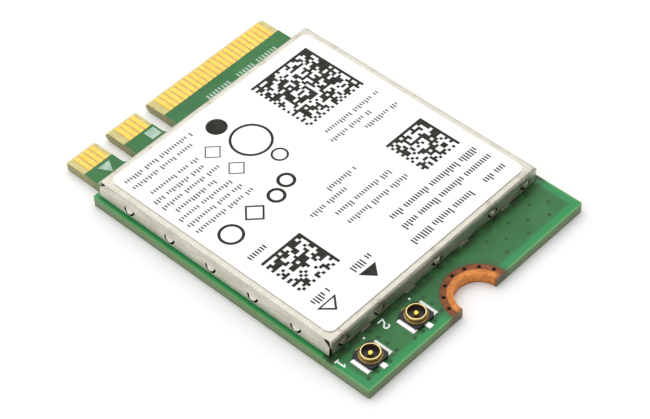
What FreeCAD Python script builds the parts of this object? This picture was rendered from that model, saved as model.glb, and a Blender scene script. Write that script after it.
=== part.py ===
import FreeCAD, Part
import math
import os

# Wireless network card for a keyed edge slot, in millimetres.
# X runs across the card, Y from the antenna end to the contact edge, Z up from the underside.

# Circuit board
BOARD_WIDTH = 22.0
BOARD_LENGTH = 30.0
BOARD_THICKNESS = 0.8
BOARD_CORNER_RADIUS = 0.15
FOIL = 0.04
TONGUE_STEP = 1.075
TONGUE_LENGTH = 4.0
TONGUE_CORNER_RADIUS = 0.2
SHOULDER_RADIUS = 0.3
KEY_WIDTH = 1.2
KEY_DEPTH = 3.5
KEY_OFFSET = 2.625
KEY_SPACING = 4.0
BEVEL_LENGTH = 0.3
BEVEL_DROP = 0.18

# Edge contacts
CONTACT_WIDTH = 0.35
CONTACT_LENGTH = 1.65
CONTACT_PITCH = 0.5
CONTACT_KEY_CLEARANCE = 0.3
CONTACT_EDGE_MARGIN = 0.3

# Screw notch and its copper ring
SCREW_RADIUS = 1.75
SCREW_PLATING = 0.04
RING_WIDTH = 0.95

# Shield lid
LID_SIDE_MARGIN = 0.5
LID_FRONT_MARGIN = 3.75
LID_SHOULDER_MARGIN = 0.25
LID_HEIGHT = 1.35
LID_SHEET = 0.15
LID_BEND_RADIUS = 0.2
LID_FLARE = 0.15
LID_LIFT = 0.1
CORNER_MITRE = 0.08
SLIT_WIDTH = 0.16
SLIT_SETBACK = 0.1
SLIT_DEPTH = 0.1
SLIT_STRAIGHT = 0.7
SLIT_LEAN = 0.42
SLIT_RISE = 0.65
SLIT_SWEEP = 65.0
SLIT_SIDES = 5

# Snap catches lanced out of the lid's walls
CATCH_HEIGHT = 0.72
CATCH_RADIUS = 0.36
CATCH_GAP = 0.13
CATCH_ANGLE = 12.0
CATCH_SIDES = 9
SIDE_CATCH_COUNT = 5
SIDE_CATCH_PITCH = 3.95
END_CATCH_CORNER = 1.2
END_CATCH_INNER = 5.8

# Shield frame and its solder joints
FRAME_SHEET = 0.15
FRAME_FIT = 0.03
FRAME_CHAMFER = 0.15
FRAME_RIM = 0.8
WINDOW_CLEARANCE = 0.14
SOLDER_REACH = 0.24
SOLDER_HEEL = 0.07
SOLDER_TOE = 0.02
SOLDER_LENGTH = 0.9
END_SOLDER_INNER = 2.75
END_SOLDER_OUTER = 7.2

# Label
LABEL_INSET = 0.55
LABEL_RADIUS = 0.55
LABEL_THICKNESS = 0.08

# Antenna jacks
JACK_COUNT = 2
JACK_SIDE_MARGIN = 2.2
JACK_PITCH = 4.5
JACK_SETBACK = 1.85
JACK_STANDOFF = 0.03
HOUSING_RIM = 0.19
HOUSING_HEIGHT = 0.22
HOUSING_CHAMFER = 0.18
SHELL_RADIUS = 0.73
SHELL_WALL = 0.1
SHELL_HEIGHT = 0.6
SHELL_BAND = 0.22
SHELL_NECK = 0.04
SHELL_NECK_RISE = 0.06
FLANGE_REACH = 0.11
FLANGE_RISE = 0.03
FLANGE_DRAFT = 0.04
SHELL_TAPER = 0.04
SHELL_LIP = 0.04
STRAP_WIDTH = 0.8
STRAP_THICKNESS = 0.08
REAR_TAB_REACH = 0.1
FOOT_REACH = 0.3
FOOT_LENGTH = 1.5
FOOT_SHIFT = 0.1
FOOT_THICKNESS = 0.09
PIN_RADIUS = 0.19
PIN_HEIGHT = 0.5
PIN_TIP = 0.06
TAIL_WIDTH = 0.36
TAIL_REACH = 0.45
TAIL_THICKNESS = 0.08
TAIL_CLEARANCE = 0.03
JACK_SOLDER_MARGIN = 0.04
JACK_SOLDER_HEIGHT = 0.08
JACK_SOLDER_TOE = 0.02

# Parts under the shield
COLUMN_GAP = 0.3
CHIP_SIZE = 7.0
CHIP_HEIGHT = 0.85
CHIP_SHIFT = 1.2
CHIP_CHAMFER = 0.08
MEMORY_WIDTH = 3.0
MEMORY_LENGTH = 2.0
MEMORY_HEIGHT = 0.55
CRYSTAL_WIDTH = 2.5
CRYSTAL_LENGTH = 2.0
CRYSTAL_HEIGHT = 0.55
CRYSTAL_CAP_INSET = 0.15
CRYSTAL_CAP_HEIGHT = 0.2
MODULE_WIDTH = 2.3
MODULE_LENGTH = 2.3
MODULE_HEIGHT = 0.7
MODULE_SETBACK = 4.5
MODULE_SHIFT = 0.4
DIPLEXER_WIDTH = 1.6
DIPLEXER_LENGTH = 0.8
DIPLEXER_HEIGHT = 0.6
DIPLEXER_SETBACK = 1.5
INDUCTOR_WIDTH = 2.0
INDUCTOR_LENGTH = 1.6
INDUCTOR_HEIGHT = 0.9
CAPACITOR_WIDTH = 1.0
CAPACITOR_LENGTH = 0.5
CAPACITOR_HEIGHT = 0.5
CAPACITOR_COUNT = 4
RESISTOR_WIDTH = 1.0
RESISTOR_LENGTH = 0.5
RESISTOR_HEIGHT = 0.32
RESISTOR_COUNT = 4
PASSIVE_GAP = 0.7
TERMINAL_LENGTH = 0.22
TERMINAL_RELIEF = 0.03

# Places worked out from the sizes above
EAST = BOARD_WIDTH / 2
NORTH = BOARD_LENGTH / 2
TONGUE_EAST = EAST - TONGUE_STEP
SHOULDER_Y = NORTH - TONGUE_LENGTH
BEVEL_Y = NORTH - BEVEL_LENGTH
MASK_EDGE_Y = BEVEL_Y - CONTACT_LENGTH
KEY_CENTRES = (-KEY_OFFSET, -KEY_OFFSET - KEY_SPACING)
BARE_BOTTOM = FOIL
BARE_TOP = BOARD_THICKNESS - FOIL
RING_RADIUS = SCREW_RADIUS + RING_WIDTH

LID_EAST = EAST - LID_SIDE_MARGIN
LID_SOUTH = LID_FRONT_MARGIN - NORTH
LID_NORTH = SHOULDER_Y - LID_SHOULDER_MARGIN
LID_LENGTH = LID_NORTH - LID_SOUTH
LID_MIDDLE_Y = (LID_NORTH + LID_SOUTH) / 2
LID_BOTTOM = BOARD_THICKNESS + LID_LIFT
LID_TOP = BOARD_THICKNESS + LID_HEIGHT
LID_CEILING = LID_TOP - LID_SHEET
CATCH_Z = BOARD_THICKNESS + CATCH_HEIGHT

FRAME_INSET = LID_SHEET + FRAME_FIT
FRAME_INSIDE_SOUTH = LID_SOUTH + FRAME_INSET + FRAME_SHEET

JACK_Y = JACK_SETBACK - NORTH
JACK_BASE = BOARD_THICKNESS + JACK_STANDOFF
HOUSING_HALF = SHELL_RADIUS + HOUSING_RIM
HOUSING_TOP = JACK_BASE + HOUSING_HEIGHT
SHELL_ROOT = JACK_BASE + TAIL_THICKNESS + TAIL_CLEARANCE
FOOT_ROOT = 2 * STRAP_THICKNESS

MEMORY_SIZE = (MEMORY_WIDTH, MEMORY_LENGTH, MEMORY_HEIGHT)
CRYSTAL_SIZE = (CRYSTAL_WIDTH, CRYSTAL_LENGTH, CRYSTAL_HEIGHT)
MODULE_SIZE = (MODULE_WIDTH, MODULE_LENGTH, MODULE_HEIGHT)
DIPLEXER_SIZE = (DIPLEXER_WIDTH, DIPLEXER_LENGTH, DIPLEXER_HEIGHT)
INDUCTOR_SIZE = (INDUCTOR_WIDTH, INDUCTOR_LENGTH, INDUCTOR_HEIGHT)
CAPACITOR_SIZE = (CAPACITOR_WIDTH, CAPACITOR_LENGTH, CAPACITOR_HEIGHT)
RESISTOR_SIZE = (RESISTOR_WIDTH, RESISTOR_LENGTH, RESISTOR_HEIGHT)

SQUARE_SIGNS = ((-1, -1), (1, -1), (1, 1), (-1, 1))


def vector(x, y, z):
    return FreeCAD.Vector(x, y, z)


def block(x0, x1, y0, y1, z0, z1):
    """Box between two corners."""
    return Part.makeBox(x1 - x0, y1 - y0, z1 - z0, vector(x0, y0, z0))


def centred_block(centre, size, z0=BOARD_THICKNESS):
    """Box with its footprint centred on a point and its base at z0."""
    x, y = centre
    width, length, height = size
    return block(x - width / 2, x + width / 2, y - length / 2, y + length / 2, z0, z0 + height)


def disc(x, y, radius, z0, z1, angle=360):
    """Upright cylinder, or the sector of one from +X round towards +Y."""
    return Part.makeCylinder(radius, z1 - z0, vector(x, y, z0), vector(0, 0, 1), angle)


def polygon_face(points):
    """Flat face bounded by straight runs through the points."""
    return Part.Face(Part.makePolygon(points + points[:1]))


def rounded_face(corners):
    """Flat face through corners given as (x, y, radius), each corner rounded by its own tangent arc."""
    runs = []
    for i, (x, y, radius) in enumerate(corners):
        here = vector(x, y, 0)
        back = (vector(*corners[i - 1][:2], 0) - here).normalize()
        ahead = (vector(*corners[(i + 1) % len(corners)][:2], 0) - here).normalize()
        if radius == 0:
            runs.append((here, None, here))
            continue
        half = back.getAngle(ahead) / 2
        trim = radius / math.tan(half)
        middle = here + (back + ahead).normalize() * (radius / math.sin(half) - radius)
        runs.append((here + back * trim, middle, here + ahead * trim))
    edges = []
    for i, (start, middle, end) in enumerate(runs):
        before = runs[i - 1][2]
        if before.distanceToPoint(start) > 1e-6:
            edges.append(Part.makeLine(before, start))
        if middle is not None:
            edges.append(Part.Arc(start, middle, end).toShape())
    return Part.Face(Part.Wire(edges))


def raised(face, z0, z1):
    """Flat face extruded between two heights."""
    return face.translated(vector(0, 0, z0)).extrude(vector(0, 0, z1 - z0))


def shield_block(inset, z0, z1):
    """Box set in from the lid's outer faces."""
    east = LID_EAST - inset
    return block(-east, east, LID_SOUTH + inset, LID_NORTH - inset, z0, z1)


def edges_at(shape, z):
    """Edges of a shape that lie wholly at one height."""
    return [edge for edge in shape.Edges if all(abs(v.Z - z) < 1e-6 for v in edge.Vertexes)]


def notch(centre_x, mouth_y, width, depth):
    """Corners of a slot with a full-radius end, read westwards along the edge it opens through."""
    east, west = centre_x + width / 2, centre_x - width / 2
    end = mouth_y - depth
    return [(east, mouth_y, 0), (east, end, width / 2), (west, end, width / 2), (west, mouth_y, 0)]


def printed_circuit_board():
    """Laminate with its outline, bare bevelled tongue and the recesses of the copper ring."""
    bore = SCREW_RADIUS + SCREW_PLATING
    outline = [
        (-EAST, -NORTH, BOARD_CORNER_RADIUS),
        (-bore, -NORTH, 0),
        (-bore, bore - NORTH, bore),
        (bore, bore - NORTH, bore),
        (bore, -NORTH, 0),
        (EAST, -NORTH, BOARD_CORNER_RADIUS),
        (EAST, SHOULDER_Y, BOARD_CORNER_RADIUS),
        (TONGUE_EAST, SHOULDER_Y, SHOULDER_RADIUS),
        (TONGUE_EAST, NORTH, TONGUE_CORNER_RADIUS),
    ]
    for centre_x in KEY_CENTRES:
        outline += notch(centre_x, NORTH, KEY_WIDTH, KEY_DEPTH)
    outline += [
        (-TONGUE_EAST, NORTH, TONGUE_CORNER_RADIUS),
        (-TONGUE_EAST, SHOULDER_Y, SHOULDER_RADIUS),
        (-EAST, SHOULDER_Y, BOARD_CORNER_RADIUS),
    ]
    cuts = []
    for bare_z, face_z, drop in ((BARE_TOP, BOARD_THICKNESS, -BEVEL_DROP), (BARE_BOTTOM, 0, BEVEL_DROP)):
        low, high = sorted((bare_z, face_z))
        cuts.append(block(-EAST, EAST, MASK_EDGE_Y, NORTH, low, high))
        cuts.append(disc(0, -NORTH, RING_RADIUS, low, high))
        bevel = ((BEVEL_Y, bare_z), (NORTH, bare_z), (NORTH, bare_z + drop))
        wedge = polygon_face([vector(-EAST, y, z) for y, z in bevel])
        cuts.append(wedge.extrude(vector(BOARD_WIDTH, 0, 0)))
    return raised(rounded_face(outline), 0, BOARD_THICKNESS).cut(cuts)


def edge_contacts(offset, z0, z1):
    """Row of contacts on one face of the tongue, at every pitch that is clear of the keys and the sides."""
    half = CONTACT_WIDTH / 2
    reach = TONGUE_EAST - CONTACT_EDGE_MARGIN - half
    key_reach = KEY_WIDTH / 2 + CONTACT_KEY_CLEARANCE + half
    first = math.ceil((-reach - offset) / CONTACT_PITCH)
    last = math.floor((reach - offset) / CONTACT_PITCH)
    contacts = []
    for i in range(first, last + 1):
        x = offset + i * CONTACT_PITCH
        if min(abs(x - centre_x) for centre_x in KEY_CENTRES) >= key_reach:
            contacts.append(block(x - half, x + half, MASK_EDGE_Y, BEVEL_Y, z0, z1))
    return Part.makeCompound(contacts)


def mounting_pad():
    """Copper of the screw notch: a half ring on each face, joined by the plated wall."""
    upper = disc(0, -NORTH, RING_RADIUS, BARE_TOP, BOARD_THICKNESS, 180)
    lower = disc(0, -NORTH, RING_RADIUS, 0, BARE_BOTTOM, 180)
    wall = disc(0, -NORTH, SCREW_RADIUS + SCREW_PLATING, 0, BOARD_THICKNESS, 180)
    bore = disc(0, -NORTH, SCREW_RADIUS, 0, BOARD_THICKNESS)
    return upper.fuse([lower, wall]).cut(bore).removeSplitter()


def shield_walls():
    """Each wall of the shield as (turn about Z, distance from the middle, catch places, solder places)."""
    middle = (SIDE_CATCH_COUNT - 1) / 2
    side_catches = [(i - middle) * SIDE_CATCH_PITCH for i in range(SIDE_CATCH_COUNT)]
    side_solder = [(i + 0.5 - middle) * SIDE_CATCH_PITCH for i in range(SIDE_CATCH_COUNT - 1)]
    outer = LID_EAST - END_CATCH_CORNER
    end_catches = [-outer, -END_CATCH_INNER, 0, END_CATCH_INNER, outer]
    end_solder = [-END_SOLDER_OUTER, -END_SOLDER_INNER, END_SOLDER_INNER, END_SOLDER_OUTER]
    ends = [(turn, LID_LENGTH / 2, end_catches, end_solder) for turn in (0, 180)]
    sides = [(turn, LID_EAST, side_catches, side_solder) for turn in (90, 270)]
    return ends + sides


def placed_on_wall(shape, turn, distance, along):
    """Shape drawn in the XZ plane with the inside towards +Y, moved to a wall of the shield."""
    copy = shape.translated(vector(along, -distance, 0))
    copy.rotate(vector(0, 0, 0), vector(0, 0, 1), turn)
    return copy.translated(vector(0, LID_MIDDLE_Y, 0))


def half_moon(radius, thickness):
    """Half disc hanging below the hinge line of a catch."""
    turns = [math.pi * i / CATCH_SIDES for i in range(CATCH_SIDES + 1)]
    bow = [vector(radius * math.cos(turn), 0, CATCH_Z - radius * math.sin(turn)) for turn in turns]
    return polygon_face(bow).extrude(vector(0, thickness, 0))


def snap_catch():
    """Half-round catch, bent inwards at its hinge line."""
    catch = half_moon(CATCH_RADIUS, LID_SHEET)
    catch.rotate(vector(0, 0, CATCH_Z), vector(1, 0, 0), CATCH_ANGLE)
    return catch


def corner_opening(i, j):
    """Slit at one corner of the lid: mitred between the walls, then curving into the side wall's bend."""
    foot = BOARD_THICKNESS + SLIT_STRAIGHT
    outside = -2 * LID_FLARE
    mitre = block(-2 * LID_SHEET, 2 * LID_SHEET, -CORNER_MITRE / 2, CORNER_MITRE / 2, 0, foot)
    mitre.rotate(vector(0, 0, 0), vector(0, 0, 1), 45)
    trim = block(outside, 0, -SLIT_WIDTH, SLIT_SETBACK, 0, foot)
    near, far = [], []
    for step in range(SLIT_SIDES + 1):
        angle = math.radians(SLIT_SWEEP * step / SLIT_SIDES)
        y = SLIT_SETBACK - SLIT_WIDTH / 2 + SLIT_LEAN * (1 - math.cos(angle))
        middle = vector(outside, y, foot + SLIT_RISE * math.sin(angle))
        across = vector(0, math.cos(angle), -math.sin(angle)) * (SLIT_WIDTH / 2)
        near.append(middle - across)
        far.append(middle + across)
    curve = polygon_face(near + far[::-1]).extrude(vector(SLIT_DEPTH - outside, 0, 0))
    opening = mitre.fuse([trim, curve])
    if i > 0:
        opening = opening.mirror(vector(0, 0, 0), vector(1, 0, 0))
    if j > 0:
        opening = opening.mirror(vector(0, 0, 0), vector(0, 1, 0))
    return opening.translated(vector(i * LID_EAST, LID_MIDDLE_Y + j * LID_LENGTH / 2, 0))


def bent_box(inset, z0, z1, radius):
    """Box set in from the lid's outer faces, with leaning sides and its upper edges rounded as a bend is."""
    section = []
    for side, z in ((-1, z0), (1, z0), (1, z1), (-1, z1)):
        lean = LID_FLARE * (LID_TOP - z) / (LID_TOP - LID_BOTTOM)
        section.append(vector(side * (LID_EAST - inset + lean), LID_SOUTH + inset, z))
    box = polygon_face(section).extrude(vector(0, LID_LENGTH - 2 * inset, 0))
    return box.makeFillet(radius, edges_at(box, z1))


def shield_lid():
    """One folded sheet: plate, four bent walls, open corners and lanced snap catches."""
    outside = bent_box(0, LID_BOTTOM, LID_TOP, LID_BEND_RADIUS)
    inside = bent_box(LID_SHEET, 0, LID_CEILING, LID_BEND_RADIUS - LID_SHEET)
    lance = half_moon(CATCH_RADIUS + CATCH_GAP, LID_SHEET + LID_FLARE)
    lance.translate(vector(0, -LID_FLARE, 0))
    lances, catches = [], []
    for turn, distance, places, _ in shield_walls():
        lances += [placed_on_wall(lance, turn, distance, along) for along in places]
        catches += [placed_on_wall(snap_catch(), turn, distance, along) for along in places]
    openings = [corner_opening(i, j) for i, j in SQUARE_SIGNS]
    return outside.cut([inside] + openings + lances).fuse(catches)


def shield_frame():
    """Fence with an inward rim under the lid's plate and a window behind each snap catch."""
    rim_z = LID_CEILING - FRAME_SHEET
    outside = shield_block(FRAME_INSET, BOARD_THICKNESS, LID_CEILING)
    cuts = [
        shield_block(FRAME_INSET + FRAME_SHEET, BOARD_THICKNESS, rim_z),
        shield_block(FRAME_INSET + FRAME_RIM, rim_z, LID_CEILING),
    ]
    half = CATCH_RADIUS + WINDOW_CLEARANCE
    window = block(-half, half, 0, FRAME_INSET + 2 * FRAME_SHEET, CATCH_Z - half, CATCH_Z)
    for turn, distance, places, _ in shield_walls():
        cuts += [placed_on_wall(window, turn, distance, along) for along in places]
    return outside.makeChamfer(FRAME_CHAMFER, edges_at(outside, LID_CEILING)).cut(cuts)


def shield_solder():
    """Low solder fillets along the frame's foot, reaching out under the lid's lower edge."""
    section = ((0, 0), (-SOLDER_REACH, 0), (-SOLDER_REACH, SOLDER_TOE), (0, SOLDER_HEEL))
    points = [vector(-SOLDER_LENGTH / 2, FRAME_INSET + y, BOARD_THICKNESS + z) for y, z in section]
    fillet = polygon_face(points).extrude(vector(SOLDER_LENGTH, 0, 0))
    joints = []
    for turn, distance, _, places in shield_walls():
        joints += [placed_on_wall(fillet, turn, distance, along) for along in places]
    return Part.makeCompound(joints)


def label():
    """Label with rounded corners on the lid's plate."""
    half_width, half_length = LID_EAST - LABEL_INSET, LID_LENGTH / 2 - LABEL_INSET
    corners = [(i * half_width, LID_MIDDLE_Y + j * half_length, LABEL_RADIUS) for i, j in SQUARE_SIGNS]
    return raised(rounded_face(corners), LID_TOP, LID_TOP + LABEL_THICKNESS)


def jack_feet(x):
    """Foot plates of one jack, one at each side, rooted under its insulator."""
    size = (FOOT_REACH + FOOT_ROOT, FOOT_LENGTH, FOOT_THICKNESS)
    offset = HOUSING_HALF + (FOOT_REACH - FOOT_ROOT) / 2
    return [centred_block((x + side * offset, JACK_Y - FOOT_SHIFT), size, JACK_BASE) for side in (-1, 1)]


def jack_ring(x):
    """Drawn ring: a straight band over a narrow neck, which the mating plug snaps under, and a flange."""
    top = BOARD_THICKNESS + SHELL_HEIGHT
    inner, flange = SHELL_RADIUS - SHELL_WALL, SHELL_RADIUS + FLANGE_REACH
    profile = (
        (inner - SHELL_TAPER, SHELL_ROOT),
        (flange + FLANGE_DRAFT, SHELL_ROOT),
        (flange, HOUSING_TOP + FLANGE_RISE),
        (SHELL_RADIUS - SHELL_NECK, top - SHELL_BAND - SHELL_NECK_RISE),
        (SHELL_RADIUS, top - SHELL_BAND),
        (SHELL_RADIUS, top - SHELL_LIP),
        (SHELL_RADIUS - SHELL_LIP, top),
        (inner, top),
    )
    section = polygon_face([vector(radius, 0, z) for radius, z in profile])
    ring = section.revolve(vector(0, 0, 0), vector(0, 0, 1), 360)
    return ring.translated(vector(x, JACK_Y, 0))


def jack_shell(x):
    """Ground contact: the ring on a strap with a rear tab and, at each side, a soldered foot."""
    inner = SHELL_RADIUS - SHELL_WALL
    reach, half = HOUSING_HALF - STRAP_THICKNESS, STRAP_WIDTH / 2
    leg = reach - STRAP_THICKNESS
    strap_top = SHELL_ROOT + STRAP_THICKNESS
    strap = block(x - reach, x + reach, JACK_Y - half, JACK_Y + half, JACK_BASE, strap_top)
    under = block(x - leg, x + leg, JACK_Y - half, JACK_Y + half, JACK_BASE, SHELL_ROOT)
    tab = block(x - half, x, JACK_Y, JACK_Y + HOUSING_HALF + REAR_TAB_REACH, SHELL_ROOT, strap_top)
    strap = strap.cut(under).fuse(tab).cut(disc(x, JACK_Y, inner, JACK_BASE, strap_top))
    return jack_ring(x).fuse([strap] + jack_feet(x)).removeSplitter()


def jack_tail(x):
    """Flat tail of the centre contact, from under the pin to the signal pad."""
    end = JACK_Y - HOUSING_HALF - TAIL_REACH
    half = TAIL_WIDTH / 2
    return block(x - half, x + half, end, JACK_Y + half, JACK_BASE, JACK_BASE + TAIL_THICKNESS)


def jack_pin(x):
    """Centre contact: a pin with a coned tip on a flat tail."""
    top = BOARD_THICKNESS + PIN_HEIGHT
    pin = disc(x, JACK_Y, PIN_RADIUS, JACK_BASE, top)
    return pin.makeChamfer(PIN_TIP, edges_at(pin, top)).fuse(jack_tail(x)).removeSplitter()


def jack_housing(x, shell, pin):
    """Insulator with cut corners, moulded around the ground ring and the centre contact."""
    far, near = HOUSING_HALF, HOUSING_HALF - HOUSING_CHAMFER
    outline = []
    for i, j in SQUARE_SIGNS:
        pair = [(i * far, j * near), (i * near, j * far)]
        outline += pair if i * j > 0 else pair[::-1]
    points = [vector(x + px, JACK_Y + py, 0) for px, py in outline]
    return raised(polygon_face(points), JACK_BASE, HOUSING_TOP).cut([shell, pin])


def solder_bed(foot, grow):
    """Tapered bed of solder under a foot, wider on the west, east, south and north sides set in grow."""
    rings = []
    for margin, z in ((JACK_SOLDER_MARGIN, 0), (JACK_SOLDER_TOE, JACK_SOLDER_HEIGHT)):
        west, east, south, north = [side * margin for side in grow]
        x0, x1 = foot.XMin - west, foot.XMax + east
        y0, y1 = foot.YMin - south, foot.YMax + north
        corners = ((x0, y0), (x1, y0), (x1, y1), (x0, y1), (x0, y0))
        rings.append(Part.makePolygon([vector(px, py, BOARD_THICKNESS + z) for px, py in corners]))
    return Part.makeLoft(rings, True, True)


def jack_solder(x, shell, pin, housing):
    """Solder of one jack: a bed under each foot and one under the tail of the centre contact."""
    west_foot, east_foot = jack_feet(x)
    tail = jack_tail(x).BoundBox
    outside = block(tail.XMin, tail.XMax, tail.YMin, tail.YMin + TAIL_REACH, tail.ZMin, tail.ZMax)
    beds = [
        solder_bed(west_foot.BoundBox, (1, 0, 1, 1)).cut([shell, housing]),
        solder_bed(east_foot.BoundBox, (0, 1, 1, 1)).cut([shell, housing]),
        solder_bed(outside.BoundBox, (1, 1, 1, 0)).cut(pin),
    ]
    return Part.makeCompound(beds)


def radio_chip(centre):
    """Moulded radio package with chamfered upper edges."""
    body = centred_block(centre, (CHIP_SIZE, CHIP_SIZE, CHIP_HEIGHT))
    return body.makeChamfer(CHIP_CHAMFER, edges_at(body, BOARD_THICKNESS + CHIP_HEIGHT))


def reference_crystal(centre):
    """Ceramic crystal package with a narrower metal cap."""
    width, length, height = CRYSTAL_SIZE
    base_height = height - CRYSTAL_CAP_HEIGHT
    cap_size = (width - 2 * CRYSTAL_CAP_INSET, length - 2 * CRYSTAL_CAP_INSET, CRYSTAL_CAP_HEIGHT)
    base = centred_block(centre, (width, length, base_height))
    return base.fuse(centred_block(centre, cap_size, BOARD_THICKNESS + base_height))


def passive(centre, size):
    """Chip component with a slightly larger terminal at each end."""
    x, y = centre
    width, length, height = size
    body = centred_block(centre, (width, length - 2 * TERMINAL_RELIEF, height - TERMINAL_RELIEF))
    terminals = []
    for side in (-1, 1):
        terminal_x = x + side * (width - TERMINAL_LENGTH) / 2
        terminals.append(centred_block((terminal_x, y), (TERMINAL_LENGTH, length, height)))
    return body.fuse(terminals).removeSplitter()


def passive_column(x, y, size, count):
    """Column of chip components, centred on a point."""
    pitch = size[1] + PASSIVE_GAP
    return Part.makeCompound([passive((x, y + (i - (count - 1) / 2) * pitch), size) for i in range(count)])


def power_inductors(x, y):
    """Pair of moulded power inductors, one behind the other."""
    offset = (INDUCTOR_LENGTH + COLUMN_GAP) / 2
    return Part.makeCompound([centred_block((x, y + side * offset), INDUCTOR_SIZE) for side in (-1, 1)])


def shielded_parts():
    """Chips and small parts under the shield, in columns side by side about its middle."""
    y = LID_MIDDLE_Y + CHIP_SHIFT
    widths = (MEMORY_WIDTH, RESISTOR_WIDTH, CAPACITOR_WIDTH, CHIP_SIZE, INDUCTOR_WIDTH)
    west = -(sum(widths) + COLUMN_GAP * (len(widths) - 1)) / 2
    centres = []
    for width in widths:
        centres.append(west + width / 2)
        west += width + COLUMN_GAP
    memory_x, resistor_x, capacitor_x, chip_x, inductor_x = centres
    memory_y = y + (MEMORY_LENGTH + COLUMN_GAP) / 2
    crystal_y = y - (CRYSTAL_LENGTH + COLUMN_GAP) / 2
    return {
        "radio_chip": radio_chip((chip_x, y)),
        "memory_chip": centred_block((memory_x, memory_y), MEMORY_SIZE),
        "reference_crystal": reference_crystal((memory_x, crystal_y)),
        "power_inductors": power_inductors(inductor_x, y),
        "ceramic_capacitors": passive_column(capacitor_x, y, CAPACITOR_SIZE, CAPACITOR_COUNT),
        "chip_resistors": passive_column(resistor_x, y, RESISTOR_SIZE, RESISTOR_COUNT),
    }


def antenna_path(number, x):
    """Antenna jack in its pieces, with the filter and the front-end module behind it under the shield."""
    shell, pin = jack_shell(x), jack_pin(x)
    housing = jack_housing(x, shell, pin)
    jack = "antenna_jack_%d_" % number
    module = (x + MODULE_SHIFT, FRAME_INSIDE_SOUTH + MODULE_SETBACK)
    diplexer = (x, FRAME_INSIDE_SOUTH + DIPLEXER_SETBACK)
    return {
        jack + "shell": shell,
        jack + "pin": pin,
        jack + "housing": housing,
        jack + "solder": jack_solder(x, shell, pin, housing),
        "front_end_module_%d" % number: centred_block(module, MODULE_SIZE),
        "diplexer_%d" % number: centred_block(diplexer, DIPLEXER_SIZE),
    }


def card():
    """Every piece of the card by its name."""
    parts = {
        "printed_circuit_board": printed_circuit_board(),
        "edge_contacts_top": edge_contacts(CONTACT_PITCH / 2, BARE_TOP, BOARD_THICKNESS),
        "edge_contacts_bottom": edge_contacts(0, 0, BARE_BOTTOM),
        "mounting_pad": mounting_pad(),
        "shield_lid": shield_lid(),
        "shield_frame": shield_frame(),
        "shield_solder": shield_solder(),
        "label": label(),
    }
    parts.update(shielded_parts())
    for i in range(JACK_COUNT):
        parts.update(antenna_path(i + 1, JACK_SIDE_MARGIN - EAST + i * JACK_PITCH))
    return parts


os.makedirs("parts", exist_ok=True)
for name, shape in card().items():
    shape.exportStep("parts/%s.step" % name)
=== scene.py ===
"""Visual model of a wireless network card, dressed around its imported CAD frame.

Sizes are in millimetres, apart from those that a comment gives in metres.
"""

import math
import random

import bmesh
import bpy
from mathutils import Matrix, Vector


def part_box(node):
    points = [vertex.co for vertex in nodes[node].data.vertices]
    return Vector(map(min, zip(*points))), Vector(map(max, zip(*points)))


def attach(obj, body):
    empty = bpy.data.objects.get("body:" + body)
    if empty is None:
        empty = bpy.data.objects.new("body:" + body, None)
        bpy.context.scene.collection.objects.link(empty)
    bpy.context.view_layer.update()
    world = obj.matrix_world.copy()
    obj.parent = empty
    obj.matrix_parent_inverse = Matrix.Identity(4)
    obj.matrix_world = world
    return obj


MM = 0.001

# Camera, fitted to the photograph, with its clipping distances in metres
CAMERA_AZIMUTH = math.radians(-45.264)
CAMERA_ELEVATION = math.radians(47.204)
CAMERA_ROLL = math.radians(-2.557)
CAMERA_TARGET = Vector((-0.656, -1.508, 0.0))
CAMERA_DISTANCE = 153.875
CAMERA_LENS = 122.32
SENSOR_WIDTH = 36.0
CLIP_START, CLIP_END = 0.005, 10.0

# Print: ticks stand for letters, and their sizes are shares of the pitch or of the line's height
INK = 0.004
TICK_WIDTH = 0.5
TICK_PITCH = 0.37
LEAST_TICK_PITCH = 0.24
LOW_TICK = 0.68
TALL_TICKS = 0.3
WORD_TICKS = (4, 12)
CODE_FILL = 0.52
LEAST_MITRE = 0.5

# Label: code fields as x, y, size, cells, lines as x0, x1, y, height, and marks as x, y, radius, width
LABEL_SEED = 22
CODE_FIELDS = ((2.98, 3.3, 5.8, 26), (5.1, -5.75, 3.72, 16), (-8.63, -6.9, 3.8, 16))
DARK_LINES = (
    (-4.95, -3.25, -8.1, 0.62), (-8.8, -7.15, -8.1, 0.62), (-8.8, -7.2, -2.3, 0.62), (0.3, 9.1, -6.95, 0.62),
    (0.2, 9.2, -8.15, 0.62), (-0.4, 5.9, -9.5, 0.62), (7.1, 9.3, -9.5, 0.62),
)
GREY_LINES = (
    (3.4, 8.7, 2.0, 0.42), (3.0, 7.0, 1.1, 0.42), (5.6, 8.9, 0.2, 0.42), (-3.2, 0.5, -2.75, 0.5),
    (-0.6, 2.2, -1.9, 0.5), (-1.9, 3.4, -3.9, 0.5), (-1.9, 3.9, -5.05, 0.5),
)
SMALL_ROWS = 9
SMALL_ROW_X, SMALL_ROW_Y = -9.4, 9.1
SMALL_ROW_PITCH = 0.82
SMALL_ROW_HEIGHT = 0.42
ROWS_BEFORE_BREAK, BREAK_HEIGHT = 2, 0.45
INDENTED_ROWS, INDENT = (2, 5), 0.5
SHORT_ROWS, SHORT_ROW_ENDS = (2, 3, 5, 6), (-5.6, -4.3)
LONG_ROW_ENDS = (-4.6, -2.4)
SOLID_TRIANGLE = ((-5.02, -8.66), (-4.2, -9.7), (-3.38, -8.72))
OPEN_TRIANGLE = ((-9.05, -8.64), (-8.14, -9.66), (-7.22, -8.62))
OPEN_TRIANGLE_MIDDLE = Vector((-8.137, -8.973))
OPEN_TRIANGLE_INSIDE = 0.66
DISC = (-1.35, 8.25, 0.8)
CIRCLE_SIDES = 40
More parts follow.
